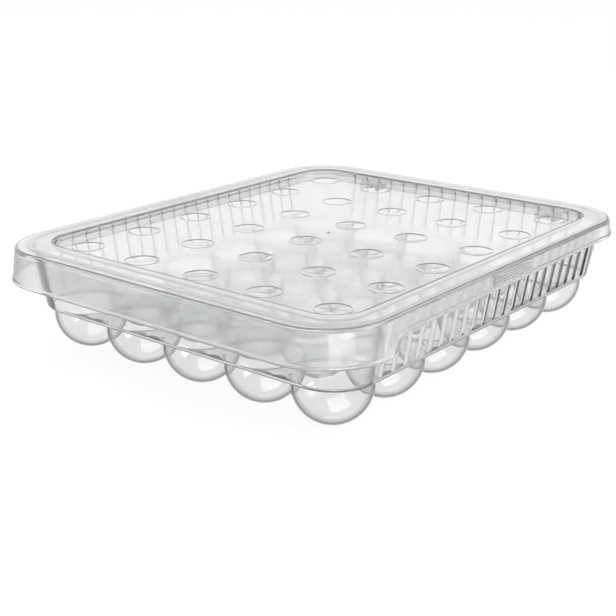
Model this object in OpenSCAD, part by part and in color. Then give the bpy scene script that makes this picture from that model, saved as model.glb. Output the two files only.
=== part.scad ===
// Egg keeper with a flip lid: a clear tray of round cups under a clear hinged lid.
// Lengths are in millimetres, +Z is up, and -Y is the front, where the lid's deep lip is.
// Walls are profiles of (distance outside the outer cups' centres, height), run round the tray.

/* [Cups] */
// Cups side by side
cups_across = 5; // [3:1:5]
// Cups from front to back
cups_deep = 6; // [3:1:6]
// Outer radius of a cup
cup_r = 24; // [20:0.5:27]
// Space between the outer faces of two neighbouring cups
cup_gap = 2; // [1:0.5:12]
// Wall of a cup
cup_wall = 1.2; // [0.8:0.1:2.5]
// Height of the cup's centre above the lowest point of its round bottom
cup_centre_drop = 0.4; // [0.2:0.1:1.5]

/* [Tray] */
// Height of the underside of the deck that joins the cups
deck_z = 28; // [25:0.5:34]
// Plastic thickness of the deck, the walls and the tray's rim
tray_wall = 1.3; // [0.8:0.1:2.5]
// Width of the deck outside the outer cups
deck_margin = 0.65; // [0.5:0.05:4]
// Outer radius of the curve where the deck turns up into the wall
foot_r = 4; // [2.6:0.2:6]
// Lean of the tray's walls, in degrees
wall_draft = 9.4; // [2:0.2:14]
// Height of the underside of the tray's rim
tray_rim_z = 68.2; // [60:0.2:84]
// Width of the tray's rim outside its wall
tray_rim_w = 4; // [2:0.5:8]

/* [Flutes] */
// Distance between two flutes on the wall
flute_pitch = 12; // [8:0.5:20]
// Radius of a flute
flute_r = 3; // [1.5:0.25:5]
// How far a flute stands out of the wall
flute_out = 1.2; // [0.4:0.1:1.4]
// Bare wall between the last flute and the corner's curve
flute_end_gap = 3; // [2:0.5:20]

/* [Lid] */
// Plastic thickness of the lid
lid_wall = 1.5; // [1:0.1:2.5]
// Space between the tray's rim and the lid above it
lid_seat_gap = 0.3; // [0.3:0.05:1]
// Space between the edge of the tray's rim and the skirt round it
skirt_gap = 0.75; // [0.5:0.05:2]
// Depth of the panel below the lid's rim
recess_depth = 4.5; // [2.5:0.25:7]
// Distance of the recess's edge outside the outer cups' centres
recess_edge = 22; // [16:0.5:28]
// Height of the lid's skirt at the back and the sides
skirt_h = 11.5; // [6:0.5:16]
// Height of the lid's lip at the front
lip_h = 21.8; // [17:0.2:30]
// How much further the lip stands out at the front than the skirt at the sides
lip_reach = 7; // [2:0.5:16]
// Length over which the lip's edge climbs to the skirt's edge
lip_ramp = 16; // [10:1:30]
// Lean of the skirt and the lip, in degrees
skirt_flare = 7.1; // [0:0.1:10]
// Radius of the lid's upper edge
lid_edge_r = 2.5; // [2:0.25:4]
// Height of the bead along the skirt's edge
bead_h = 2.2; // [1:0.1:3]
// How far the bead stands out
bead_out = 0.5; // [0.3:0.1:1]

/* [Dimples] */
// Radius of a dimple in the lid's panel
dimple_r = 10.6; // [6:0.2:16]
// Depth of a dimple
dimple_depth = 2.6; // [1:0.1:4]
// Radius of the moulding's gate mark in the middle of the panel
gate_r = 1.2; // [0.6:0.1:2.5]

/* [Grips] */
// Length of the grip on each long side
grip_l = 46; // [20:1:90]
// Ridges in a grip
grip_ridges = 5; // [2:1:5]
// Distance between two ridges
grip_pitch = 1.5; // [1.4:0.05:1.6]
// Radius of a ridge
grip_r = 0.6; // [0.4:0.05:0.7]

/* [Hinge] */
// Distance of each hinge inwards from the centres of the outer cups
hinge_inset = 20; // [15:1:45]
// Radius of the tray's hinge pin
pin_r = 1.9; // [1.5:0.1:2]
// Radial clearance of the pin in the lid's clip
pin_gap = 0.1; // [0.05:0.01:0.1]
// Wall of the clip round the pin
clip_wall = 1.3; // [1:0.1:1.6]
// Width of the lid's clip
clip_w = 12; // [6:0.5:20]
// Width of each ear that carries the pin
ear_w = 2.5; // [1.5:0.25:5]
// Space between an ear and the clip
ear_gap = 0.4; // [0.3:0.05:1]
// Height of the pin's axis below the edge of the skirt
hinge_drop = 3.7; // [3.7:0.1:6]
// Slot through which the clip snaps over the pin
clip_slot = 3; // [2:0.1:3.4]

/* [Hidden] */

fine = 96;
small = 32;
eps = 0.01;
clear_plastic = [0.86, 0.87, 0.88, 0.5];
clear_lid = [0.9, 0.91, 0.92, 0.5];

// The rectangle through the centres of the outer cups
cup_pitch = 2 * cup_r + cup_gap;
core_x = (cups_across - 1) * cup_pitch / 2;
core_y = (cups_deep - 1) * cup_pitch / 2;

// Tray
cup_centre_z = cup_r - cup_centre_drop;
deck_edge = cup_r + deck_margin;
foot_z = deck_z + foot_r;
tray_top = tray_rim_z + tray_wall;
wall_rise = (tray_rim_z - foot_z + foot_r * sin(wall_draft)) / cos(wall_draft);
wall_top_edge = deck_edge + foot_r * cos(wall_draft) + wall_rise * sin(wall_draft);
tray_rim_edge = wall_top_edge + tray_rim_w;

// Lid
lid_under = tray_top + lid_seat_gap;
lid_top = lid_under + lid_wall;
panel_top = lid_top - recess_depth;
panel_under = panel_top - lid_wall;
shoulder = tray_rim_edge + skirt_gap + lid_wall - lid_edge_r;
shoulder_z = lid_top - lid_edge_r;
skirt_z = lid_top - skirt_h;
lip_z = lid_top - lip_h;
lip_line = -core_y - lip_reach;
ramp_end = lip_line + lip_ramp;
function skirt_face(z) = shoulder + lid_edge_r / cos(skirt_flare) + (shoulder_z - z) * tan(skirt_flare);

// Dimples: a dish is a cap of a ball
dish_r = (dimple_r * dimple_r + dimple_depth * dimple_depth) / (2 * dimple_depth);
dish_z = panel_top + dish_r - dimple_depth;

// Hinge
hinge_x = core_x - hinge_inset;
hinge_z = skirt_z - hinge_drop;
hinge_edge = skirt_face(skirt_z) - lid_wall / 2;
hinge_y = core_y + hinge_edge;
clip_bore = pin_r + pin_gap;
clip_r = clip_bore + clip_wall;

// The part stands in the middle of its own box
front_reach = -lip_line + skirt_face(lip_z) + bead_out;
back_reach = hinge_y + clip_r;
centre_y = (front_reach - back_reach) / 2;

function cup_name(i, j) = str("cup_", i, "_", j);
function deck_name(k) = str("tray_deck_", k);
function cup_x(i) = (i - 1) * cup_pitch - core_x;
function cup_y(j) = (j - 1) * cup_pitch - core_y;
function arc(c, r, from, to, steps) =
    [for (k = [0:steps]) let(a = from + (to - from) * k / steps) c + r * [cos(a), sin(a)]];

// The tray's wall with the rim at its top
function wall_line(r, rise) =
    [deck_edge, foot_z] + r * [cos(wall_draft), -sin(wall_draft)] + rise * [sin(wall_draft), cos(wall_draft)];
inner_rise = wall_rise + (tray_wall - tray_wall * sin(wall_draft)) / cos(wall_draft);
wall_profile = concat(
    [[deck_edge, deck_z + tray_wall]],
    arc([deck_edge, foot_z], foot_r, -90, -wall_draft, 6),
    [wall_line(foot_r, wall_rise),
     [tray_rim_edge, tray_rim_z],
     [tray_rim_edge, tray_top],
     wall_line(foot_r - tray_wall, inner_rise)],
    arc([deck_edge, foot_z], foot_r - tray_wall, -wall_draft, -90, 6));

// Everything between the cups' centres and the outer face of the wall
inside_wall = [[0, foot_z], wall_line(foot_r, 0), wall_line(foot_r, wall_rise), [0, tray_rim_z]];

// The outer face of the skirt or the lip, from the shoulder down to the bead along its edge
function skirt_outside(edge_z) = concat(
    arc([shoulder, shoulder_z], lid_edge_r, 90, skirt_flare, 6),
    [[skirt_face(edge_z + bead_h), edge_z + bead_h],
     [skirt_face(edge_z + bead_h) + bead_out, edge_z + bead_h],
     [skirt_face(edge_z) + bead_out, edge_z]]);
function skirt_profile(edge_z) = concat(
    skirt_outside(edge_z),
    [[skirt_face(edge_z) - lid_wall, edge_z]],
    arc([shoulder, shoulder_z], lid_edge_r - lid_wall, skirt_flare, 90, 4));

// A profile run along a straight side, facing +X
module run(profile, length) {
    rotate([90, 0, 0]) linear_extrude(length, center = true) polygon(profile);
}

// A profile turned round a corner, from +X to +Y
module turn(profile) {
    rotate_extrude(angle = 90, $fn = fine) polygon(profile);
}

// One end of the ring: the straight run across the tray and the two corners, on the line y
module end_run(profile, y, side) {
    translate([0, y, 0]) rotate([0, 0, 90 * side]) run(profile, 2 * core_x);
    for (x = [-1, 1])
        translate([x * core_x, y, 0]) rotate([0, 0, side > 0 ? (x > 0 ? 0 : 90) : (x > 0 ? 270 : 180)])
            turn(profile);
}

// A rectangle with round corners, edge outside the rectangle of the cup centres
module core_plate(edge, front_line = -core_y) {
    depth = core_y - front_line;
    translate([-core_x - edge, front_line]) square([2 * (core_x + edge), depth]);
    translate([-core_x, front_line - edge]) square([2 * core_x, depth + 2 * edge]);
    for (x = [-core_x, core_x])
        for (y = [front_line, core_y])
            translate([x, y]) circle(edge, $fn = fine);
}

module cup(i, j) {
    color(clear_plastic) translate([cup_x(i), cup_y(j), 0]) difference() {
        union() {
            translate([0, 0, cup_centre_z]) sphere(cup_r, $fn = fine);
            translate([0, 0, cup_centre_z]) cylinder(deck_z - cup_centre_z, r = cup_r, $fn = fine);
        }
        translate([0, 0, cup_centre_z]) sphere(cup_r - cup_wall, $fn = fine);
        translate([0, 0, cup_centre_z]) cylinder(cup_r, r = cup_r - cup_wall, $fn = fine);
        translate([-cup_r, -cup_r, deck_z]) cube([2 * cup_r, 2 * cup_r, cup_r]);
        translate([-cup_r, -cup_r, -cup_r]) cube([2 * cup_r, 2 * cup_r, cup_r]);
    }
}

// A strip of the deck, from the middle of one row of cups to the middle of the next
module tray_deck(k) {
    from = k > 1 ? cup_y(k - 1) : -core_y - deck_edge;
    to = k <= cups_deep ? cup_y(k) : core_y + deck_edge;
    color(clear_plastic) translate([0, 0, deck_z]) linear_extrude(tray_wall) difference() {
        intersection() {
            core_plate(deck_edge);
            translate([-core_x - deck_edge, from]) square([2 * (core_x + deck_edge), to - from]);
        }
        for (i = [1:cups_across])
            for (j = [max(1, k - 1):min(cups_deep, k)])
                translate([cup_x(i), cup_y(j)]) circle(cup_r - cup_wall, $fn = fine);
    }
}

// Flutes along a straight side that faces +X
module flutes(length) {
    count = floor((length / 2 - flute_end_gap) / flute_pitch);
    foot = wall_line(foot_r, 0);
    for (k = [-count:count])
        translate([foot[0], k * flute_pitch, foot[1]]) rotate([0, wall_draft, 0])
            translate([flute_out - flute_r, 0, flute_r]) flute();
}

// One flute with a round foot, leaning with the wall and rooted in it
module flute() {
    intersection() {
        union() {
            cylinder(wall_rise - flute_r, r = flute_r, $fn = small);
            sphere(flute_r, $fn = small);
        }
        translate([flute_r - flute_out - tray_wall / 2, -flute_r, -flute_r])
            cube([flute_r, 2 * flute_r, wall_rise]);
    }
}

module below_rim() {
    intersection() {
        children();
        translate([0, 0, deck_z]) linear_extrude(tray_rim_z - deck_z) core_plate(tray_rim_edge);
    }
}

module tray_end_wall(side, fluted) {
    color(clear_plastic) union() {
        end_run(wall_profile, side * core_y, side);
        if (fluted)
            below_rim() translate([0, side * core_y, 0]) rotate([0, 0, 90 * side]) flutes(2 * core_x);
    }
}

module tray_right_wall() {
    color(clear_plastic) union() {
        translate([core_x, 0, 0]) run(wall_profile, 2 * core_y);
        below_rim() translate([core_x, 0, 0]) flutes(2 * core_y);
    }
}

module tray_left_wall() {
    mirror([1, 0, 0]) tray_right_wall();
}

// The two ears and the pin of each hinge, on the tray's back wall
module tray_hinge_ears() {
    color(clear_plastic) difference() {
        for (x = [-hinge_x, hinge_x]) {
            for (s = [-1, 1])
                translate([x + s * (clip_w / 2 + ear_gap + ear_w / 2), 0, 0]) ear();
            translate([x, hinge_y, hinge_z]) rotate([0, 90, 0])
                cylinder(clip_w + 2 * ear_gap + ear_w, r = pin_r, center = true, $fn = small);
        }
        translate([0, core_y, 0]) rotate([0, 0, 90]) {
            run(inside_wall, 2 * core_x);
            flutes(2 * core_x);
        }
    }
}

module ear() {
    translate([0, hinge_y, hinge_z]) rotate([0, 90, 0])
        cylinder(ear_w, r = clip_r, center = true, $fn = small);
    translate([-ear_w / 2, core_y + deck_edge, hinge_z - clip_r])
        cube([ear_w, hinge_edge - deck_edge, 2 * clip_r]);
}

module lid_panel() {
    color(clear_lid) difference() {
        union() {
            translate([0, 0, panel_under]) linear_extrude(lid_wall) core_plate(recess_edge);
            dishes(lid_wall);
            translate([0, 0, panel_top]) cylinder(gate_r / 3, r = gate_r, $fn = small);
        }
        dishes(0);
    }
}

// The step from the panel up to the rim
module lid_recess_wall() {
    color(clear_lid) translate([0, 0, panel_top]) linear_extrude(recess_depth) difference() {
        core_plate(recess_edge);
        core_plate(recess_edge - lid_wall);
    }
}

// The round dishes that the cups of another keeper rest in, or with a shell their underside
module dishes(shell) {
    for (i = [1:cups_across])
        for (j = [1:cups_deep])
            translate([cup_x(i), cup_y(j), 0]) intersection() {
                translate([0, 0, dish_z]) sphere(dish_r + shell, $fn = fine);
                translate([0, 0, panel_top - dimple_depth - 2 * shell - eps])
                    cylinder(dimple_depth + 2 * shell + (shell > 0 ? 0 : recess_depth), r = dish_r, $fn = fine);
            }
}

// The flat rim between the recess and the lid's shoulder
module rim_plate() {
    translate([0, 0, lid_under]) linear_extrude(lid_wall) difference() {
        core_plate(shoulder, lip_line);
        core_plate(recess_edge);
    }
}

module rim_part(low, high) {
    color(clear_lid) intersection() {
        rim_plate();
        translate([low[0], low[1], lid_under - eps])
            cube([high[0] - low[0], high[1] - low[1], lid_wall + 2 * eps]);
    }
}

reach = core_x + shoulder + cup_pitch;
far = core_y + shoulder + cup_pitch;

module lid_front_rim() { rim_part([-reach, -far], [reach, -core_y]); }
module lid_back_rim() { rim_part([-reach, core_y], [reach, far]); }
module lid_left_rim() { rim_part([-reach, -core_y], [0, core_y]); }
module lid_right_rim() { rim_part([0, -core_y], [reach, core_y]); }

// The deep lip, whose edge climbs to the skirt's edge in a curve on both sides
module lid_front_lip() {
    color(clear_lid) difference() {
        union() {
            end_run(skirt_profile(lip_z), lip_line, -1);
            for (side = [0, 1])
                mirror([side, 0, 0]) translate([core_x, (lip_line + ramp_end) / 2, 0])
                    run(skirt_profile(lip_z), lip_ramp);
        }
        translate([-reach, 0, 0]) rotate([90, 0, 90]) linear_extrude(2 * reach) under_ramp();
    }
}

// What is cut away below the ramp, as (y, z): two arcs that meet half way up
module under_ramp() {
    rise = skirt_z - lip_z;
    half = [lip_ramp / 2, rise / 2];
    r = (half[0] * half[0] + half[1] * half[1]) / (2 * half[1]);
    swing = 2 * atan(half[1] / half[0]);
    polygon(concat(
        arc([lip_line, lip_z + r], r, -90, -90 + swing, 6),
        arc([ramp_end, skirt_z - r], r, 90 + swing, 90, 6),
        [[ramp_end + 1, skirt_z], [ramp_end + 1, lip_z - 1], [lip_line, lip_z - 1]]));
}

module lid_right_skirt() {
    color(clear_lid) translate([core_x, (ramp_end + core_y) / 2, 0])
        run(skirt_profile(skirt_z), core_y - ramp_end);
}

module lid_left_skirt() {
    mirror([1, 0, 0]) lid_right_skirt();
}

module lid_back_skirt() {
    color(clear_lid) end_run(skirt_profile(skirt_z), core_y, 1);
}

// Fine ridges along the middle of the long side, on the outer face of the skirt
module lid_right_grip() {
    color(clear_lid) translate([core_x, 0, 0]) for (k = [0:grip_ridges - 1])
        let(z = shoulder_z - k * grip_pitch)
            difference() {
                translate([skirt_face(z), 0, z]) rotate([90, 0, 0])
                    cylinder(grip_l, r = grip_r, center = true, $fn = small);
                run(concat(skirt_outside(skirt_z), [[0, skirt_z], [0, lid_top]]), grip_l + 2);
            }
}

module lid_left_grip() {
    mirror([1, 0, 0]) lid_right_grip();
}

// The clips below the back skirt that snap over the tray's hinge pins
module lid_hinge_clips() {
    color(clear_lid) for (x = [-hinge_x, hinge_x]) translate([x, hinge_y, hinge_z]) difference() {
        union() {
            rotate([0, 90, 0]) cylinder(clip_w, r = clip_r, center = true, $fn = small);
            translate([-clip_w / 2, -lid_wall / 2, 0]) cube([clip_w, lid_wall, hinge_drop]);
        }
        rotate([0, 90, 0]) cylinder(clip_w + 1, r = clip_bore, center = true, $fn = small);
        translate([-clip_w / 2 - 1, -clip_slot / 2, -clip_r - 1]) cube([clip_w + 2, clip_slot, clip_r + 1]);
    }
}

translate([0, centre_y, 0]) {
    for (j = [1:cups_deep])
        for (i = [1:cups_across])
            cup(i, j);
    for (k = [1:cups_deep + 1])
        tray_deck(k);
    tray_end_wall(-1, false);  // tray_front_wall
    tray_end_wall(1, true);  // tray_back_wall
    tray_left_wall();
    tray_right_wall();
    tray_hinge_ears();
    lid_panel();
    lid_recess_wall();
    lid_front_rim();
    lid_back_rim();
    lid_left_rim();
    lid_right_rim();
    lid_front_lip();
    lid_back_skirt();
    lid_left_skirt();
    lid_right_skirt();
    lid_left_grip();
    lid_right_grip();
    lid_hinge_clips();
}
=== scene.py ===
"""The looks of an egg keeper in clear plastic: a tray of thirty cups under a hinged lid.

Lengths are in millimetres until mesh_piece turns them into metres. Each moulding is one thin
shell, so that light meets no seams inside the plastic. A shell is made of points that come in
pairs, one on the wall's outer face and one on its inner face.
"""

import math

import bpy
import numpy as np
from mathutils import Matrix, Vector


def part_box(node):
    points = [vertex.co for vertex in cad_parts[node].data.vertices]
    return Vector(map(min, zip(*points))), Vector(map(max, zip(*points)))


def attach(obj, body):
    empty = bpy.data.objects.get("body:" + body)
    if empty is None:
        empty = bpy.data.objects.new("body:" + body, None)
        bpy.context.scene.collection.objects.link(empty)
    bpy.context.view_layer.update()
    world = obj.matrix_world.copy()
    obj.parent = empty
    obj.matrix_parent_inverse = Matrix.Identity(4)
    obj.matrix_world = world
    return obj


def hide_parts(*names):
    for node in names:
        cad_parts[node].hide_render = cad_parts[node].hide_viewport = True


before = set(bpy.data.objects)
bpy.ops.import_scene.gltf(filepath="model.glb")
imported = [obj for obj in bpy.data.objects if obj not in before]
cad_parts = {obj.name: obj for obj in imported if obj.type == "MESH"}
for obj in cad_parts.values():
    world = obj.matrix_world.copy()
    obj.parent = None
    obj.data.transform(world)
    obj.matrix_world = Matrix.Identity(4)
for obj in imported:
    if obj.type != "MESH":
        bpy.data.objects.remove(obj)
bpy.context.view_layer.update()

MM = 0.001


def node_box(name):
    """Lowest and highest corner of a CAD node, in millimetres."""
    low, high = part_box(name)
    return np.array(low) / MM, np.array(high) / MM


# What the frame says
cup_names = [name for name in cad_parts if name.startswith("cup_")]
cups_across = max(int(name.split("_")[1]) for name in cup_names)
cups_deep = max(int(name.split("_")[2]) for name in cup_names)
cup_low, cup_high = node_box("cup_1_1")
next_low = node_box("cup_2_1")[0]
deck_names = sorted(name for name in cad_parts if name.startswith("tray_deck"))
deck_low = node_box(deck_names[0])[0]
deck_high = node_box(deck_names[-1])[1]
wall_high = node_box("tray_front_wall")[1]
rim_low, rim_high = node_box("lid_right_rim")
front_low = node_box("lid_front_rim")[0]
skirt_low = node_box("lid_right_skirt")[0]
lip_low = node_box("lid_front_lip")[0]

cup_pitch = next_low[0] - cup_low[0]
cup_r = (cup_high[0] - cup_low[0]) / 2
core_x = (cups_across - 1) * cup_pitch / 2
core_y = (cups_deep - 1) * cup_pitch / 2
centre_y = (deck_low[1] + deck_high[1]) / 2
deck_z = deck_low[2]
tray_wall = deck_high[2] - deck_low[2]
deck_edge = deck_high[0] - core_x
tray_top = wall_high[2]
tray_rim_edge = wall_high[0] - core_x
lid_under, lid_top = rim_low[2], rim_high[2]
lid_wall = lid_top - lid_under
shoulder = rim_high[0] - core_x
skirt_z = skirt_low[2]
lip_z = lip_low[2]
lip_line = front_low[1] - centre_y + shoulder

# What the frame's boxes don't show, as in the CAD source
cup_wall = 1.2
cup_centre_z = 23.6
foot_r = 4.0
wall_draft = math.radians(9.4)
flute_pitch = 12.0
flute_r = 3.0
flute_out = 1.2
flute_end_gap = 3.0
recess_depth = 4.5
recess_edge = 22.0
skirt_flare = math.radians(7.1)
lid_edge_r = 2.5
bead_h = 2.2
bead_out = 0.5
lip_ramp = 16.0
dimple_r = 10.6
dimple_depth = 2.6
gate_r = 1.2
gate_h = 0.4
grip_l = 46.0
grip_ridges = 5
grip_pitch = 1.5
grip_r = 0.6

# Roundings that only the looks have
mouth_r = 2.0
web_r = 0.9
flute_fillet = 0.25
rim_bend_r = 0.6
edge_round = 0.35
dimple_fillet = 2.0
recess_foot_r = 0.8
recess_lip_r = 1.8

# How finely the shells are divided. A flute's columns are distances from its axis, and its rows
# are distances from the middle of its round end. The ridge angles go round a ridge from its top,
# in degrees, and a bead step is (how far below the bead's top, how far out)
CELL_SPOKES = 64
CORNER_STEPS = CELL_SPOKES // 4
CUP_RINGS = 15
FLUTE_COLUMNS = [0.5, 1.0, 1.45, 1.85, 2.1, 2.24, 2.33, 2.43]
FLUTE_PAST = 3.2
FLUTE_ROWS = [2.43, 2.33, 2.15, 1.9, 1.6, 1.2, 0.8, 0.4]
RIDGE_ANGLES = (90, 60, 35, 12, -12, -35, -60, -90)
BEAD_STEPS = ((0.0, 0.06), (0.2, 0.3), (0.35, 0.44), (0.6, 0.5))

# How many stations of the loop a corner takes up
CORNER_TURN = 40.0

# Painted shade in the plastic's colour, by place. An edge share says how much painted shade it gets
# at a flat angle, a line share how much painted shade it has from every side, and a haze share how hazy
# it is, of MOST_HAZE
DECK_PAINTED_EDGE, WALL_PAINTED_EDGE, TRAY_CORNER_PAINTED_EDGE = 0.4, 0.8, 1.4
FLANK_PAINTED_LINE, LOW_BEND_PAINTED_LINE, FRONT_BEND_PAINTED_LINE = 0.12, 0.35, 0.08
CUP_FOOT_PAINTED_LINE, CUP_FOOT_PAINTED_H = 0.15, 4
BEND_PAINTED_LINE, RECESS_EDGE_PAINTED_LINE, RIDGE_PAINTED_LINE, LIP_PAINTED_VEIL = 0.4, 0.75, 0.55, 0.81
LIP_PAINTED_EDGE, LID_CORNER_PAINTED_EDGE = 0.2, 1.2
LIP_HAZE, GRIP_HAZE, MOST_HAZE = 0.3, 0.5, 0.14

# The plastic's colour where it is looked at straight, the depth of its waves, and the dark room
PLASTIC_COLOUR = (0.97, 0.975, 0.98)
FLOW_DEPTH = 0.02
ROOM_DARK = 0.2


def arc(centre, radius, start, end, steps):
    """Points on an arc, angles in radians."""
    angles = np.linspace(start, end, steps + 1)
    return [(centre[0] + radius * math.cos(a), centre[1] + radius * math.sin(a)) for a in angles]


class Shell:
    """A thin closed wall in the making."""

    def __init__(self):
        self.outer, self.inner, self.faces = [], [], []

    def points(self, outer, inner):
        """Adds pairs of points, rows by columns, and gives their numbers in the same layout."""
        outer, inner = np.asarray(outer, float), np.asarray(inner, float)
        first = len(self.outer)
        self.outer += outer.reshape(-1, 3).tolist()
        self.inner += inner.reshape(-1, 3).tolist()
        return np.arange(first, len(self.outer)).reshape(outer.shape[:-1])

    def rows(self, ids):
        """Fills a layout of points with quads, its last column joined to its first."""
        ahead = np.roll(ids, -1, axis=1)
        quads = np.stack([ids[:-1], ahead[:-1], ahead[1:], ids[1:]], axis=-1)
        self.faces += quads.reshape(-1, 4).tolist()

    def fan(self, middle, ring):
        """Triangles from one point to a closed ring."""
        self.faces += [(middle, a, b) for a, b in zip(ring, np.roll(ring, -1))]

    def stitch(self, ring_a, at_a, ring_b, at_b, whole):
        """Triangles between two closed rings whose points lie at these stations of one loop."""
        a, b = 0, 0
        while a < len(ring_a) or b < len(ring_b):
            here_a, here_b = ring_a[a % len(ring_a)], ring_b[b % len(ring_b)]
            next_a = at_a[a + 1] if a + 1 < len(ring_a) else at_a[0] + whole
            next_b = at_b[b + 1] if b + 1 < len(ring_b) else at_b[0] + whole
            if b == len(ring_b) or (a < len(ring_a) and next_a <= next_b):
                a += 1
                self.faces.append((here_a, ring_a[a % len(ring_a)], here_b))
            else:
                b += 1
                self.faces.append((here_a, ring_b[b % len(ring_b)], here_b))

    def closed_mesh(self):
        """Points and faces of the closed wall: outer face, inner face and the edge between."""
        outer, inner = np.array(self.outer), np.array(self.inner)
        keys = np.round(np.hstack([outer, inner]) * 1000).astype(np.int64)
        _, first, same = np.unique(keys, axis=0, return_index=True, return_inverse=True)
        same = same.reshape(-1)
        outer, inner = outer[first], inner[first]
        faces = []
        for face in self.faces:
            face = [same[v] for v in face]
            face = [v for k, v in enumerate(face) if v != face[k - 1]]
            if len(face) > 2:
                corners = outer[face]
                normal = np.cross(corners[1] - corners[0], corners[2] - corners[0])
                if len(face) == 4:
                    normal = normal + np.cross(corners[2] - corners[0], corners[3] - corners[0])
                if normal @ (corners - inner[face]).sum(axis=0) < 0:
                    face.reverse()
                faces.append(face)
        once = set()
        for face in faces:
            for a, b in zip(face, face[1:] + face[:1]):
                if (b, a) in once:
                    once.remove((b, a))
                else:
                    once.add((a, b))
        count = len(outer)
        back = [[v + count for v in reversed(face)] for face in faces]
        edge = [[b, a, a + count, b + count] for a, b in sorted(once)]
        return np.vstack([outer, inner]), faces + back + edge


def mesh_piece(name, points, faces, painted_edge_shade, painted_line_shade, haze_share):
    """A smooth mesh object whose large faces keep their own direction.

    The shares, one for each point of the outer face, say how much painted shade it gets where it is seen
    at a flat angle, how much painted shade it has from every side, and how hazy it is.
    """
    mesh = bpy.data.meshes.new(name)
    mesh.from_pydata((points * MM).tolist(), [], [list(map(int, face)) for face in faces])
    mesh.validate()
    mesh.shade_smooth()
    count = len(mesh.polygons)
    normals, areas = np.empty(count * 3), np.empty(count)
    mesh.polygons.foreach_get("normal", normals)
    mesh.polygons.foreach_get("area", areas)
    weighted = normals.reshape(-1, 3) * areas[:, None]
    summed = np.zeros((len(mesh.vertices), 3))
    for polygon, push in zip(mesh.polygons, weighted):
        summed[list(polygon.vertices)] += push
    lengths = np.linalg.norm(summed, axis=1, keepdims=True)
    mesh.normals_split_custom_set_from_vertices((summed / np.maximum(lengths, 1e-20)).tolist())
    none = np.zeros(len(painted_edge_shade))
    for label, shares in (("painted_edge_shade", (painted_edge_shade, none)), ("painted_line_shade", (painted_line_shade, none)),
                          ("haze_share", (haze_share, haze_share))):
        layer = mesh.attributes.new(label, "FLOAT", "POINT")
        layer.data.foreach_set("value", np.concatenate(shares).astype(np.float32))
    piece = bpy.data.objects.new(name, mesh)
    bpy.context.scene.collection.objects.link(piece)
    return piece


# The rectangle through the outer cups' centres, as a loop: places on it, ways out, and stations
def loop_whole():
    return 4 * (core_x + core_y) + 4 * CORNER_TURN


def side_columns(steps_x, steps_y):
    """Columns once round the loop, from the right side on, counter-clockwise.

    steps_x and steps_y are places along a side, from -core to core. Gives foot points (x, y),
    ways out (x, y), stations and the place along the side, which is nan on the corners.
    """
    sides = [((core_x, 0), (1, 0), (0, 1), steps_y, core_y),
             ((0, core_y), (0, 1), (-1, 0), steps_x, core_x),
             ((-core_x, 0), (-1, 0), (0, -1), steps_y, core_y),
             ((0, -core_y), (0, -1), (1, 0), steps_x, core_x)]
    feet, ways, stations, along = [], [], [], []
    start = 0.0
    for middle, way, forward, steps, half in sides:
        for t in steps:
            feet.append(np.array(middle) + np.array(forward) * t)
            ways.append(way)
            stations.append(start + t + half)
            along.append(t)
        start += 2 * half
        angle = math.atan2(way[1], way[0])
        for k in range(1, CORNER_STEPS):
            a = angle + math.pi / 2 * k / CORNER_STEPS
            feet.append(np.array(middle) + np.array(forward) * half)
            ways.append((math.cos(a), math.sin(a)))
            stations.append(start + CORNER_TURN * k / CORNER_STEPS)
            along.append(math.nan)
        start += CORNER_TURN
    return np.array(feet), np.array(ways), np.array(stations), np.array(along)


def station_of(x, y):
    """The loop's station nearest to a point outside the rectangle of the outer cups' centres."""
    fx, fy = min(max(x, -core_x), core_x), min(max(y, -core_y), core_y)
    angle = math.atan2(y - fy, x - fx) % (2 * math.pi)
    quarter = int(round(angle / (math.pi / 2), 9)) % 4
    past = angle - quarter * math.pi / 2
    runs = [2 * core_y, 2 * core_x, 2 * core_y, 2 * core_x]
    start = sum(runs[:quarter]) + quarter * CORNER_TURN
    if past < 1e-6:
        return start + [fy + core_y, core_x - fx, core_y - fy, fx + core_x][quarter]
    return start + runs[quarter] + CORNER_TURN * past / (math.pi / 2)


def spoke_end(angle, reach, outside):
    """Where a spoke at this angle leaves its cell, whose sides lie reach away: east, north, west
    and south. Between two sides of the cell that are the outside, the cell ends in an arc."""
    c, s = math.cos(angle), math.sin(angle)
    quarter = int(angle / (math.pi / 2) + 1e-9) % 4
    if outside[quarter] and outside[(quarter + 1) % 4]:
        return reach[quarter] * c, reach[quarter] * s
    largest = max(abs(c), abs(s))
    across = reach[0] if c > 0 else reach[2]
    deep = reach[1] if s > 0 else reach[3]
    return across * c / largest, deep * s / largest


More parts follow.
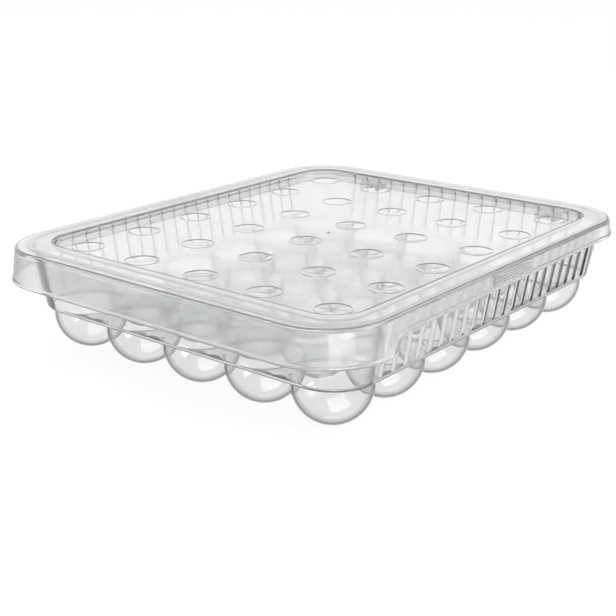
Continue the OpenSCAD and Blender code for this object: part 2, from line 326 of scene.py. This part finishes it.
def cells(shell, outer_profile, inner_profile, outer_border_z, inner_border_z, edge):
    """A cell round each cup's axis: rings of the profiles, then flat to the cell's border.

    The profiles run outwards from the axis, as (radius, height). Gives the outside border.
    """
    border = {}
    angles = [2 * math.pi * k / CELL_SPOKES for k in range(CELL_SPOKES)]
    spokes = np.array([(math.cos(a), math.sin(a)) for a in angles])
    half = cup_pitch / 2
    for i in range(cups_across):
        for j in range(cups_deep):
            axis = np.array([i * cup_pitch - core_x, j * cup_pitch - core_y])
            outside = (i == cups_across - 1, j == cups_deep - 1, i == 0, j == 0)
            reach = [edge if out else half for out in outside]

            def ring(profile):
                return [[(*(axis + r * spoke), z) for spoke in spokes] for r, z in profile[1:]]

            middle = shell.points([(*axis, outer_profile[0][1])], [(*axis, inner_profile[0][1])])[0]
            ends = [axis + np.array(spoke_end(a, reach, outside)) for a in angles]
            outer = ring(outer_profile) + [[(*end, outer_border_z) for end in ends]]
            inner = ring(inner_profile) + [[(*end, inner_border_z) for end in ends]]
            ids = shell.points(outer, inner)
            shell.fan(middle, ids[0])
            shell.rows(ids)
            for end, number in zip(ends, ids[-1]):
                dx, dy = abs(end[0]) - core_x, abs(end[1]) - core_y
                if abs(math.hypot(max(dx, 0), max(dy, 0)) - edge) < 1e-6:
                    border[round(station_of(*end), 6)] = number
    stations = sorted(border)
    return np.array([border[s] for s in stations]), np.array(stations)


def cup_profiles():
    """The outer and the inner face of a cup, from the lowest point up to the deck."""
    inner_r = cup_r - cup_wall
    flat = math.acos(cup_centre_z / cup_r)
    turns = [-math.pi / 2 + flat + (math.pi / 2 - flat) * k / CUP_RINGS
             for k in range(CUP_RINGS + 1)]
    outer = [(0, 0)] + [(cup_r * math.cos(a), cup_centre_z + cup_r * math.sin(a)) for a in turns]
    inner = [(0, cup_centre_z - inner_r)]
    inner += [(inner_r * math.cos(a), cup_centre_z + inner_r * math.sin(a)) for a in turns]
    deck_top = deck_z + tray_wall
    outer += arc((cup_r + web_r, deck_z - web_r), web_r, math.pi, math.pi / 2, 5)
    inner += arc((inner_r + mouth_r, deck_top - mouth_r), mouth_r, math.pi, math.pi / 2, 5)
    return outer, inner


def flute_bump(distance, radius, depth, fillet):
    """How far a round rod, whose axis lies depth behind a face, stands out of it at this distance
    from the axis, with a fillet where it leaves the face."""
    foot = math.sqrt((radius + fillet) ** 2 - (depth + fillet) ** 2)
    tangent = foot * radius / (radius + fillet)
    if distance < tangent:
        return math.sqrt(radius ** 2 - distance ** 2) - depth
    if distance < foot:
        return fillet - math.sqrt(fillet ** 2 - (foot - distance) ** 2)
    return 0.0


def tray_shell():
    """Cups, deck, walls with their flutes, and rim."""
    shell = Shell()
    outer_cup, inner_cup = cup_profiles()
    cell_edge = (deck_edge + cup_r + web_r) / 2
    border, border_at = cells(shell, outer_cup, inner_cup, deck_z, deck_z + tray_wall, cell_edge)

    # Flutes: distances from a flute's axis at which the wall has columns
    depth = flute_r - flute_out
    foot = math.sqrt((flute_r + flute_fillet) ** 2 - (depth + flute_fillet) ** 2)
    columns = [0, *FLUTE_COLUMNS, foot, FLUTE_PAST]
    around = sorted({-t for t in columns} | set(columns))

    def steps(half, fluted):
        count = int((half - flute_end_gap) / flute_pitch)
        if not fluted:
            return np.linspace(-half, half, 2 * count + 1)
        places = [k * flute_pitch + t for k in range(-count, count + 1) for t in around]
        return np.array([-half] + places + [half])

    feet, ways, stations, along = side_columns(steps(core_x, True), steps(core_y, True))
    fluted = ~np.isnan(along) & (ways[:, 1] > -0.5)
    place = np.nan_to_num(along)
    nearest = np.where(np.isnan(along), 0, np.round(place / flute_pitch) * flute_pitch)
    limit = np.where(np.abs(ways[:, 0]) > 0.5, core_y, core_x) - flute_end_gap
    aside = np.where(fluted & (np.abs(nearest) <= limit), np.abs(place - nearest), 99.0)

    # The wall's profile, as (distance outside the cups' centres, height) on both faces. heights
    # says how far up the straight wall a row lies, and is -1 on the bends, where no flute is
    foot_z = deck_z + foot_r
    steep = (math.cos(wall_draft), -math.sin(wall_draft))
    uphill = (math.sin(wall_draft), math.cos(wall_draft))
    bend_z = tray_top - tray_wall - rim_bend_r
    rise = (bend_z - foot_z + (foot_r + rim_bend_r) * math.sin(wall_draft)) / math.cos(wall_draft)
    bend_u = deck_edge + (foot_r + rim_bend_r) * steep[0] + rise * uphill[0]
    sweep = [-math.pi / 2 + (math.pi / 2 - wall_draft) * k / 7 for k in range(8)]
    outer, inner = [], []
    for profile, radius in ((outer, foot_r), (inner, foot_r - tray_wall)):
        profile += [(deck_edge + radius * math.cos(a), foot_z + radius * math.sin(a))
                    for a in sweep]
    low = [flute_r - d for d in (foot, *FLUTE_ROWS, 0)]
    high = [rise - h for h in low[::-1]]
    straight = low + high + [rise]
    for profile, radius in ((outer, foot_r), (inner, foot_r - tray_wall)):
        start = np.array([deck_edge, foot_z]) + radius * np.array(steep)
        profile += [tuple(start + h * np.array(uphill)) for h in straight]
    for profile, radius in ((outer, rim_bend_r), (inner, rim_bend_r + tray_wall)):
        profile += arc((bend_u, bend_z), radius, math.pi - wall_draft, math.pi / 2, 6)[1:]
    edge, soft = tray_rim_edge, edge_round * 0.3
    for profile, face, up in ((outer, tray_top - tray_wall, 1), (inner, tray_top, -1)):
        profile += [(edge - edge_round, face), (edge - soft, face + up * soft),
                    (edge, face + up * edge_round)]
    heights = [-1.0] * len(sweep) + straight
    heights += [-1.0] * (len(outer) - len(heights))

    rows_out, rows_in = [], []
    for (uo, zo), (ui, zi), h in zip(outer, inner, heights):
        bump = np.zeros(len(aside))
        if h >= 0:
            past = max(flute_r - h, h - (rise - flute_r), 0.0)
            distance = np.hypot(aside, past)
            bump = np.array([flute_bump(d, flute_r, depth, flute_fillet) for d in distance])
        out = (uo + bump * steep[0])[:, None]
        rows_out.append(np.column_stack([feet + ways * out, zo + bump * steep[1]]))
        rows_in.append(np.column_stack([feet + ways * ui, np.full(len(feet), zi)]))
    ids = shell.points(rows_out, rows_in)
    shell.rows(ids)
    shell.stitch(border, border_at, ids[0], stations, loop_whole())
    points, faces = shell.closed_mesh()

    # Its painted shade at flat angles, most on the corners, and its painted dark lines on the flutes'
    # flanks, the bend at the walls' foot and the cups' feet
    x, y, z = points[:len(points) // 2].T
    turned = (np.abs(x) > core_x + 1) & (np.abs(y) > core_y + 1) & (z > deck_z + 0.5)
    place = np.where(np.abs(x) > core_x, y, x)
    beside = np.abs(place - np.round(place / flute_pitch) * flute_pitch)
    flank = (beside > 2.05) & (beside < 2.6) & (z > foot_z + 1) & (z < tray_top - 2.5)
    flank &= (y > -core_y) & ~turned
    past_deck = np.maximum(np.abs(x) - core_x, np.abs(y) - core_y) > deck_edge
    low_bend = (z > deck_z + 0.1) & (z < deck_z + 2.2) & past_deck
    wall = (z > deck_z + 1.5) & ~turned
    painted_edge_shade = np.select([np.abs(z - deck_z) < 0.02, turned, wall],
                           [DECK_PAINTED_EDGE, TRAY_CORNER_PAINTED_EDGE, WALL_PAINTED_EDGE], 1.0)
    painted_line_shade = np.select([flank, low_bend & (y > -core_y), low_bend],
                           [FLANK_PAINTED_LINE, LOW_BEND_PAINTED_LINE, FRONT_BEND_PAINTED_LINE],
                           np.clip((CUP_FOOT_PAINTED_H - z) / CUP_FOOT_PAINTED_H, 0, 1) * CUP_FOOT_PAINTED_LINE)
    haze_share = np.zeros(len(x))
    return mesh_piece("tray_shell", points + [0, centre_y, 0], faces, painted_edge_shade, painted_line_shade, haze_share)


def dimple_profiles():
    """The upper and the under face of the lid's panel round a dimple, from the middle out."""
    ball = (dimple_r ** 2 + dimple_depth ** 2) / (2 * dimple_depth)
    panel_top = lid_top - recess_depth
    # A fillet rolls over the dimple's edge: its middle lies below the panel, outside the ball
    reach = math.sqrt((ball + dimple_fillet) ** 2 - (ball - dimple_depth + dimple_fillet) ** 2)
    lean = math.asin(reach / (ball + dimple_fillet))
    ball_z = panel_top + ball - dimple_depth
    turns = np.linspace(0, lean, 9)
    upper = [(ball * math.sin(a), ball_z - ball * math.cos(a)) for a in turns]
    under_ball = ball + lid_wall
    under = [(under_ball * math.sin(a), ball_z - under_ball * math.cos(a)) for a in turns]
    top_arc = [(reach - dimple_fillet * math.sin(a), panel_top - dimple_fillet * (1 - math.cos(a)))
               for a in np.linspace(lean, 0, 5)[1:]]
    small = dimple_fillet - lid_wall
    low_arc = [(reach - small * math.sin(a), panel_top - dimple_fillet + small * math.cos(a))
               for a in np.linspace(lean, 0, 5)[1:]]
    return upper + top_arc, under + low_arc


def lid_shell():
    """Panel with its dimples, recess, rim, and the skirt with the deep lip at the front."""
    shell = Shell()
    panel_top = lid_top - recess_depth
    panel_under = panel_top - lid_wall
    upper, under = dimple_profiles()
    wall_u = recess_edge - lid_wall
    cell_edge = wall_u - recess_foot_r - 1.0
    border, border_at = cells(shell, upper, under, panel_top, panel_under, cell_edge)

    ramp_end = lip_line + lip_ramp
    stretch = (core_y - lip_line) / (2 * core_y)
    grip_ends = [s * (grip_l / 2 + d)
                 for s in (-1, 1) for d in (-grip_r, -grip_r * 0.7, -grip_r * 0.3, 0)]
    ramp_places = np.linspace(lip_line, ramp_end, 21)
    plain = np.linspace(ramp_end, core_y, 61)
    places = np.unique(np.round(np.concatenate([ramp_places, plain, grip_ends]), 6))
    steps_y = (places - core_y) / stretch + core_y
    steps_x = np.linspace(-core_x, core_x, 41)
    feet, ways, stations, along = side_columns(steps_x, steps_y)
    far_feet = np.column_stack([feet[:, 0], (feet[:, 1] - core_y) * stretch + core_y])

    # The lower edge: the lip's at the front, and two arcs up to the skirt's along the sides
    rise = skirt_z - lip_z
    ramp_r = ((lip_ramp / 2) ** 2 + (rise / 2) ** 2) / rise

    def edge_height(y):
        if y <= lip_line:
            return lip_z
        if y >= ramp_end:
            return skirt_z
        if y < lip_line + lip_ramp / 2:
            return lip_z + ramp_r - math.sqrt(ramp_r ** 2 - (y - lip_line) ** 2)
        return skirt_z - ramp_r + math.sqrt(ramp_r ** 2 - (ramp_end - y) ** 2)

    edge_z = np.array([edge_height(y) for y in far_feet[:, 1]])
    gripped = np.where(np.abs(ways[:, 0]) > 0.999, grip_l / 2 - np.abs(far_feet[:, 1]), -1.0)
    gripped = np.sqrt(np.clip(1 - (1 - np.clip(gripped, 0, grip_r) / grip_r) ** 2, 0, 1))

    rows_out, rows_in = [], []

    def row(base, outer_u, outer_z, inner_u, inner_z):
        def placed(u, z):
            u, z = np.broadcast_to(u, len(base)), np.broadcast_to(z, len(base))
            return np.column_stack([base + ways * u[:, None], z])
        rows_out.append(placed(outer_u, outer_z))
        rows_in.append(placed(inner_u, inner_z))

    # The recess: its foot, its wall and the edge of the rim above it
    row(feet, wall_u - recess_foot_r, panel_top, wall_u - recess_foot_r, panel_under)
    foot_middle = (wall_u - recess_foot_r, panel_top + recess_foot_r)
    lip_middle = (wall_u + recess_lip_r, lid_top - recess_lip_r)
    foot_out = arc(foot_middle, recess_foot_r, -math.pi / 2, 0, 5)
    foot_in = arc(foot_middle, recess_foot_r + lid_wall, -math.pi / 2, 0, 5)
    top_out = arc(lip_middle, recess_lip_r, math.pi, math.pi / 2, 6)
    top_in = arc(lip_middle, recess_lip_r - lid_wall, math.pi, math.pi / 2, 6)
    for (uo, zo), (ui, zi) in zip(foot_out[1:] + top_out, foot_in[1:] + top_in):
        row(feet, uo, zo, ui, zi)
    # The next row lies close by, so that the dark line of this edge stays narrow
    strip_end = wall_u + recess_lip_r + 1.4
    row(feet, strip_end, lid_top, strip_end, lid_under)

    # The shoulder and the skirt
    shoulder_z = lid_top - lid_edge_r
    flare = math.tan(skirt_flare)
    face_at = shoulder + lid_edge_r / math.cos(skirt_flare)
    back_at = shoulder + (lid_edge_r - lid_wall) / math.cos(skirt_flare)
    over_out = arc((shoulder, shoulder_z), lid_edge_r, math.pi / 2, skirt_flare, 8)
    over_in = arc((shoulder, shoulder_z), lid_edge_r - lid_wall, math.pi / 2, skirt_flare, 8)
    ridge_zs = [shoulder_z - k * grip_pitch for k in range(grip_ridges)]
    for (uo, zo), (ui, zi) in zip(over_out, over_in):
        row(far_feet, uo, zo, ui, zi)

    def skirt_row(outer_z, inner_z, out=0.0):
        row(far_feet, face_at + (shoulder_z - outer_z) * flare + out, outer_z,
            back_at + (shoulder_z - inner_z) * flare, inner_z)

    for z in ridge_zs:
        for a in map(math.radians, RIDGE_ANGLES):
            here = z + grip_r * math.sin(a)
            if here < over_out[-1][1]:
                skirt_row(here, min(here, over_in[-1][1]), gripped * grip_r * math.cos(a))
    last = ridge_zs[-1] - grip_r
    for share in (0.25, 0.5, 0.75, 1.0):
        z = last + (edge_z + bead_h + edge_round - last) * share
        skirt_row(z, z)
    bead_top = edge_z + bead_h
    for down, out in BEAD_STEPS:
        skirt_row(bead_top - down, bead_top - down, out)
    skirt_row(edge_z + edge_round, edge_z + edge_round, bead_out)
    foot_face = face_at + (shoulder_z - edge_z) * flare + bead_out
    foot_back = back_at + (shoulder_z - edge_z) * flare
    soft = edge_round * 0.3
    row(far_feet, foot_face - soft, edge_z + soft, foot_back + soft, edge_z + soft)
    row(far_feet, foot_face - edge_round, edge_z, foot_back + edge_round, edge_z)

    ids = shell.points(rows_out, rows_in)
    shell.rows(ids)
    shell.stitch(border, border_at, ids[0], stations, loop_whole())
    points, faces = shell.closed_mesh()

    # Its painted shade at flat angles, most on the corners, its painted dark lines on the bends, the
    # bead and the ridges' feet, and a painted grey veil over the front lip
    x, y, z = points[:len(points) // 2].T
    past_x = np.maximum(np.abs(x) - core_x, 0)
    u = np.hypot(past_x, np.maximum(np.abs(y) - core_y, 0))
    far_u = np.hypot(past_x, np.maximum(np.where(y < 0, lip_line - y, y - core_y), 0))
    turned = (np.abs(x) > core_x + 1) & ((y > core_y + 1) | (y < lip_line - 1))
    turned &= far_u > shoulder + 1
    recess_lip = (u > wall_u - 0.01) & (u < wall_u + recess_lip_r - 0.2)
    recess_lip &= z > lid_top - recess_lip_r - 0.1
    recess_line = (np.abs(u - wall_u - recess_lip_r) < 0.2) & (z > lid_top - 0.2)
    recess_foot = (u > wall_u - recess_foot_r + 0.1) & (u < wall_u - 0.01)
    recess_foot &= z < panel_top + recess_foot_r
    over = (far_u > shoulder + 0.4) & (z > shoulder_z + 0.3)
    bead = np.abs(z - np.where(y < lip_line, lip_z, skirt_z) - bead_h + 0.28) < 0.15
    bead &= far_u > shoulder
    painted_line_shade = np.select([recess_lip, recess_line, recess_foot | over | bead],
                           [BEND_PAINTED_LINE, RECESS_EDGE_PAINTED_LINE, BEND_PAINTED_LINE], 0.0)
    ridge_foot = np.min(np.abs(np.abs(z[:, None] - np.array(ridge_zs)) - grip_r), axis=1) < 0.02
    ridge_foot &= (np.abs(y) < grip_l / 2) & (far_u > shoulder + 1) & (z < lid_top - 1)
    painted_line_shade = np.where(ridge_foot, RIDGE_PAINTED_LINE, painted_line_shade)
    front = (y < lip_line) & (far_u > shoulder + 1) & (z < lid_top - 3) & (z > lip_z + bead_h)
    painted_line_shade = np.where(front, LIP_PAINTED_VEIL, painted_line_shade)
    painted_edge_shade = np.where(front, LIP_PAINTED_EDGE, np.where(turned, LID_CORNER_PAINTED_EDGE, 1.0))
    haze_share = np.clip((far_u - shoulder) / 1.5, 0, 1)
    haze_share *= np.clip((y - lip_line) / lip_ramp, LIP_HAZE, 1)
    haze_share = np.where(np.abs(y) < grip_l / 2, haze_share * GRIP_HAZE, haze_share)
    return mesh_piece("lid_shell", points + [0, centre_y, 0], faces, painted_edge_shade, painted_line_shade, haze_share)


def gate_mark():
    """The mark that the mould's gate leaves in the middle of the panel."""
    shell = Shell()
    low, high = lid_top - recess_depth + 0.03, lid_top - recess_depth + gate_h
    middle = shell.points([(0, 0, high)], [(0, 0, low)])[0]
    turns = np.linspace(0, 2 * math.pi, 24, endpoint=False)
    rim = np.column_stack([gate_r * np.cos(turns), gate_r * np.sin(turns)])
    ring = shell.points([[(*p, high) for p in rim]], [[(*p, low) for p in rim]])[0]
    shell.fan(middle, ring)
    points, faces = shell.closed_mesh()
    # Both painted shade shares are full here, so the whole mark is painted in the lid's dark shade
    # colour
    some = np.ones(len(points) // 2)
    return mesh_piece("lid_gate_mark", points + [0, centre_y, 0], faces, some, some, some * 0)


SIDES = ("front", "back", "left", "right")
tray_nodes = cup_names + deck_names + [f"tray_{side}_wall" for side in SIDES]
lid_nodes = ["lid_panel", "lid_front_lip", "lid_recess_wall"]
lid_nodes += [f"lid_{side}_rim" for side in SIDES]
lid_nodes += [f"lid_{side}_skirt" for side in ("back", "left", "right")]
lid_nodes += ["lid_left_grip", "lid_right_grip"]

tray = tray_shell()
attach(tray, "tray")
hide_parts(*tray_nodes)

lid = lid_shell()
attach(lid, "lid")
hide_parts(*lid_nodes)

gate = gate_mark()
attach(gate, "lid")


def attribute_node(tree, name):
    node = tree.nodes.new("ShaderNodeAttribute")
    node.attribute_name = name
    return node


def ramp_node(tree, start, start_colour, end, end_colour):
    """A colour ramp with two stops."""
    node = tree.nodes.new("ShaderNodeValToRGB")
    first, last = node.color_ramp.elements
    first.position, first.color = start, (*start_colour, 1)
    last.position, last.color = end, (*end_colour, 1)
    return node


def clear_plastic(name, painted_shade_colour, painted_shade_from, painted_shade_full, clearness, density, flow_scale, haze_range):
    """Moulded clear plastic: a faint grey inside, and slow waves and haze where the melt flowed.

    Painted shade turns it from PLASTIC_COLOUR to the painted shade's dark colour between two amounts of
    painted shade, which grows where it is seen at a flat angle. density is what it takes up per
    millimetre, and haze_range are its least and greatest roughness.
    """
    material = bpy.data.materials.new(name)
    material.use_nodes = True
    tree = material.node_tree
    shader = tree.nodes["Principled BSDF"]
    shader.inputs["Transmission Weight"].default_value = clearness
    shader.inputs["IOR"].default_value = 1.57
    place = tree.nodes.new("ShaderNodeTexCoord")

    # Painted shade in the base colour: at a flat angle it darkens the outer edges, partly for the wall
    # being many times thicker there and partly standing in for the dark room seen through the edges, and
    # the painted dark lines are added to it
    angle = tree.nodes.new("ShaderNodeLayerWeight")
    angle.inputs["Blend"].default_value = 0.5
    side = attribute_node(tree, "painted_edge_shade")
    line = attribute_node(tree, "painted_line_shade")
    turned = tree.nodes.new("ShaderNodeMath")
    turned.operation = "MULTIPLY_ADD"
    tree.links.new(angle.outputs["Facing"], turned.inputs[0])
    tree.links.new(side.outputs["Fac"], turned.inputs[1])
    tree.links.new(line.outputs["Fac"], turned.inputs[2])
    edge = ramp_node(tree, painted_shade_from, PLASTIC_COLOUR, painted_shade_full, painted_shade_colour)
    tree.links.new(turned.outputs["Value"], edge.inputs["Fac"])
    tree.links.new(edge.outputs["Color"], shader.inputs["Base Color"])

    flow = tree.nodes.new("ShaderNodeTexNoise")
    flow.inputs["Scale"].default_value = flow_scale
    flow.inputs["Detail"].default_value = 2.0
    tree.links.new(place.outputs["Object"], flow.inputs["Vector"])
    bump = tree.nodes.new("ShaderNodeBump")
    bump.inputs["Strength"].default_value = 1.0
    bump.inputs["Distance"].default_value = FLOW_DEPTH * MM
    tree.links.new(flow.outputs["Fac"], bump.inputs["Height"])
    tree.links.new(bump.outputs["Normal"], shader.inputs["Normal"])

    haze = tree.nodes.new("ShaderNodeTexNoise")
    haze.inputs["Scale"].default_value = flow_scale * 3
    haze.inputs["Detail"].default_value = 4.0
    tree.links.new(place.outputs["Object"], haze.inputs["Vector"])
    spread = tree.nodes.new("ShaderNodeMapRange")
    spread.inputs["From Min"].default_value = 0.35
    spread.inputs["From Max"].default_value = 0.75
    spread.inputs["To Min"].default_value = haze_range[0]
    spread.inputs["To Max"].default_value = haze_range[1]
    tree.links.new(haze.outputs["Fac"], spread.inputs["Value"])
    hazy = attribute_node(tree, "haze_share")
    more = tree.nodes.new("ShaderNodeMath")
    more.operation = "MULTIPLY_ADD"
    more.inputs[1].default_value = MOST_HAZE
    tree.links.new(hazy.outputs["Fac"], more.inputs[0])
    tree.links.new(spread.outputs["Result"], more.inputs[2])
    tree.links.new(more.outputs["Value"], shader.inputs["Roughness"])

    volume = tree.nodes.new("ShaderNodeVolumeAbsorption")
    volume.inputs["Color"].default_value = (0.0, 0.0, 0.0, 1)
    volume.inputs["Density"].default_value = density / MM
    tree.links.new(volume.outputs["Volume"], tree.nodes["Material Output"].inputs["Volume"])
    return material


def wear(piece, material):
    piece.data.materials.clear()
    piece.data.materials.append(material)


# The dark colours here are the painted shade at flat angles and along the painted lines
tray_plastic = clear_plastic(
    "clear_tray_plastic", painted_shade_colour=(0.02, 0.02, 0.022), painted_shade_from=0.43, painted_shade_full=0.69,
    clearness=1.0, density=0.072, flow_scale=30.0, haze_range=(0.01, 0.05))
lid_plastic = clear_plastic(
    "clear_lid_plastic", painted_shade_colour=(0.2, 0.2, 0.21), painted_shade_from=0.84, painted_shade_full=0.97,
    clearness=0.925, density=0.03, flow_scale=22.0, haze_range=(0.04, 0.1))
wear(tray, tray_plastic)
wear(lid, lid_plastic)
wear(gate, lid_plastic)
wear(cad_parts["tray_hinge_ears"], tray_plastic)
wear(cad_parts["lid_hinge_clips"], lid_plastic)


def add_floor():
    """A large pale floor that glows a little, just under the cups' feet."""
    size = 12.0
    mesh = bpy.data.meshes.new("floor")
    corners = [(-size, -size, 0), (size, -size, 0), (size, size, 0), (-size, size, 0)]
    mesh.from_pydata(corners, [], [(0, 1, 2, 3)])
    floor = bpy.data.objects.new("floor", mesh)
    floor.location.z = -0.0004
    bpy.context.scene.collection.objects.link(floor)
    material = bpy.data.materials.new("pale_floor")
    material.use_nodes = True
    tree = material.node_tree
    tree.nodes.remove(tree.nodes["Principled BSDF"])
    glow = tree.nodes.new("ShaderNodeEmission")
    glow.inputs["Strength"].default_value = 1.04
    matt = tree.nodes.new("ShaderNodeBsdfDiffuse")
    matt.inputs["Color"].default_value = (0.9, 0.9, 0.9, 1)
    mix = tree.nodes.new("ShaderNodeMixShader")
    mix.inputs["Fac"].default_value = 0.1
    tree.links.new(glow.outputs["Emission"], mix.inputs[1])
    tree.links.new(matt.outputs["BSDF"], mix.inputs[2])
    tree.links.new(mix.outputs["Shader"], tree.nodes["Material Output"].inputs["Surface"])
    mesh.materials.append(material)


def add_room():
    """The room: white low down and behind the object, darker in front and overhead."""
    world = bpy.data.worlds.new("room")
    bpy.context.scene.world = world
    world.use_nodes = True
    tree = world.node_tree
    background = tree.nodes["Background"]
    place = tree.nodes.new("ShaderNodeTexCoord")
    behind = tree.nodes.new("ShaderNodeVectorMath")
    behind.operation = "DOT_PRODUCT"
    behind.inputs[1].default_value = Vector((-0.6, 0.75, 0.28)).normalized()
    tree.links.new(place.outputs["Generated"], behind.inputs[0])
    back = ramp_node(tree, 0.05, (ROOM_DARK, ROOM_DARK, ROOM_DARK), 0.55, (1, 1, 1))
    tree.links.new(behind.outputs["Value"], back.inputs["Fac"])
    split = tree.nodes.new("ShaderNodeSeparateXYZ")
    tree.links.new(place.outputs["Generated"], split.inputs["Vector"])
    low = ramp_node(tree, 0.03, (1, 1, 1), 0.1, (0, 0, 0))
    tree.links.new(split.outputs["Z"], low.inputs["Fac"])
    lighter = tree.nodes.new("ShaderNodeMix")
    lighter.data_type = "RGBA"
    lighter.blend_type = "LIGHTEN"
    lighter.inputs["Factor"].default_value = 1.0
    tree.links.new(back.outputs["Color"], lighter.inputs["A"])
    tree.links.new(low.outputs["Color"], lighter.inputs["B"])
    tree.links.new(lighter.outputs["Result"], background.inputs["Color"])
    background.inputs["Strength"].default_value = 1.0


def add_lamp(name, location, target, size, power, seen=True, mirrored=True):
    """A rectangular lamp. seen: by the camera; mirrored: in glossy surfaces."""
    data = bpy.data.lights.new(name, "AREA")
    data.shape = "RECTANGLE"
    data.size, data.size_y = size
    data.energy = power
    lamp = bpy.data.objects.new(name, data)
    lamp.location = location
    lamp.rotation_euler = (Vector(target) - Vector(location)).to_track_quat("-Z", "Y").to_euler()
    lamp.visible_camera = seen
    lamp.visible_glossy = mirrored
    bpy.context.scene.collection.objects.link(lamp)


def add_camera():
    """The photograph's camera: where it stands, and the way that it looks."""
    place = Vector((0.4711, -0.6118 + centre_y * MM, 0.2751))
    azimuth, elevation, roll = math.radians(38.62), math.radians(18.75), math.radians(0.12)
    back = Vector((math.sin(azimuth) * math.cos(elevation),
                   -math.cos(azimuth) * math.cos(elevation),
                   math.sin(elevation)))
    level = Vector((math.cos(azimuth), math.sin(azimuth), 0))
    over = back.cross(level)
    right = level * math.cos(roll) + over * math.sin(roll)
    up = back.cross(right)
    data = bpy.data.cameras.new("camera")
    data.sensor_width = 36.0
    data.lens = 69.07
    data.clip_start, data.clip_end = 0.05, 60.0
    camera = bpy.data.objects.new("camera", data)
    turn = Matrix((right, up, back)).transposed()
    camera.matrix_world = Matrix.Translation(place) @ turn.to_4x4()
    bpy.context.scene.collection.objects.link(camera)
    bpy.context.scene.camera = camera


add_floor()
add_room()
add_lamp("softbox_top", (-0.3, -0.4, 1.9), (0, 0, 0.03), (2.0, 1.8), 38.0, mirrored=False)
add_lamp("softbox_right", (1.4, 0.5, 0.7), (0.1, 0, 0.05), (1.0, 1.0), 27.0, mirrored=False)
add_lamp("strip_side", (0.5, -0.35, 0.05), (0.13, -0.16, 0.05), (0.31, 0.1), 0.38, seen=False)
add_camera()

scene = bpy.context.scene
scene.view_settings.view_transform = "Standard"
scene.cycles.max_bounces = 24
scene.cycles.transmission_bounces = 24
scene.cycles.glossy_bounces = 8
